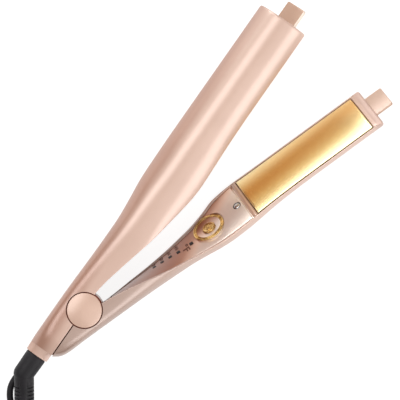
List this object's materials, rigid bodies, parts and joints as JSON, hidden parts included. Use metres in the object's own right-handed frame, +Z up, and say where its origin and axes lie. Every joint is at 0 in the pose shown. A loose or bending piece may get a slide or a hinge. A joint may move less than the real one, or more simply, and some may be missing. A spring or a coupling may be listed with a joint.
{
  "type": "spiral hair iron",
  "caption": "Hair iron with two twisted half-round arms that open from one barrel, flat plates between them, a dial-shaped button panel, a round tail hinge and a swivel cord.",
  "frame": {"origin": "the arm hinge's axis, where it meets the table that the iron lies on", "axes": "+X along the cord arm from the hinge to its tip, +Y outward from the cord arm, away from the control arm, +Z up, along the hinge axis"},
  "size_m": [0.3873, 0.165, 0.0378],
  "materials": {
    "rose_housing": "satin champagne rose gold",
    "rose_panel": "satin champagne rose gold",
    "rose_tip": "satin champagne rose gold",
    "gold_plate": "mirror gold coating",
    "gold_trim": "polished gold",
    "screw_steel": "bright",
    "pin_steel": "bright",
    "washer_nylon": "matte",
    "ceramic": "matte white",
    "silicone": "matte",
    "black_rubber": "satin",
    "black_cord": "satin",
    "tie_rubber": "matte",
    "blade_metal": "bright",
    "lens_dark": "gloss",
    "board_green": "satin",
    "black_plastic": "matte"
  },
  "bodies": {
    "cord_arm": {"cord_arm_shell": "rose_housing", "cord_arm_inner_cover": "rose_panel", "cord_cover_screws": "screw_steel", "cord_arm_plate_frame": "rose_panel", "cord_arm_plate_pads": "silicone", "thermal_fuse": "ceramic", "cord_arm_end_tab": "rose_tip", "hinge_pin": "pin_steel", "hinge_washers": "washer_nylon", "hinge_spring": "pin_steel", "hinge_cover_lower": "rose_housing", "hinge_cover_upper": "rose_housing", "swivel_collar": "rose_tip", "cord_lead": "black_cord", "cord_coil": "black_cord", "coil_tie": "tie_rubber", "plug_body": "black_rubber", "plug_blades": "blade_metal"},
    "control_arm": {"control_arm_shell": "rose_housing", "control_panel": "rose_panel", "control_arm_plate_frame": "rose_panel", "control_arm_plate_pads": "silicone", "control_arm_end_tab": "rose_tip", "hinge_bushings": "washer_nylon", "panel_screw": "screw_steel", "button_ring": "gold_trim", "button_dish": "rose_tip", "led_windows": "lens_dark", "led_board": "board_green", "main_board": "board_green", "tact_switch": "black_plastic"},
    "cord_plate_float": {"cord_arm_plate": "gold_plate", "cord_arm_heater": "ceramic"},
    "control_plate_float": {"control_arm_plate": "gold_plate", "control_arm_heater": "ceramic"},
    "power_button": {"power_button": "gold_trim"},
    "cord_swivel": {"swivel_sleeve": "black_rubber", "strain_relief": "black_rubber", "hang_loop": "black_rubber"}
  },
  "joints": [
    {"name": "arm_hinge", "type": "hinge", "parent": "cord_arm", "child": "control_arm", "pos_m": [0, 0, 0.0189], "axis": [0, 0, 1], "range_deg": [0, 18.8], "stiffness_Nm_per_rad": 0.3, "springref_deg": -20.05, "deforming": ["hinge_spring"]},
    {"name": "cord_plate_press", "type": "slide", "parent": "cord_arm", "child": "cord_plate_float", "axis": [0, 0.7071, 0.7071], "range_m": [0, 0.0005], "stiffness_N_per_m": 2000, "springref_m": -0.0005, "deforming": ["cord_arm_plate_pads"]},
    {"name": "control_plate_press", "type": "slide", "parent": "control_arm", "child": "control_plate_float", "axis": [-0.2279, -0.6694, -0.7071], "range_m": [0, 0.0005], "stiffness_N_per_m": 2000, "springref_m": -0.0005, "deforming": ["control_arm_plate_pads"]},
    {"name": "button_press", "type": "slide", "parent": "control_arm", "child": "power_button", "axis": [-0.2519, -0.7399, -0.6238], "range_m": [0, 0.0007], "stiffness_N_per_m": 600, "springref_m": -0.0008},
    {"name": "cord_swivel_turn", "type": "hinge", "parent": "cord_arm", "child": "cord_swivel", "pos_m": [-0.04, 0.0089, 0.0189], "axis": [1, 0, 0], "continuous": true, "deforming": ["cord_lead"]}
  ]
}
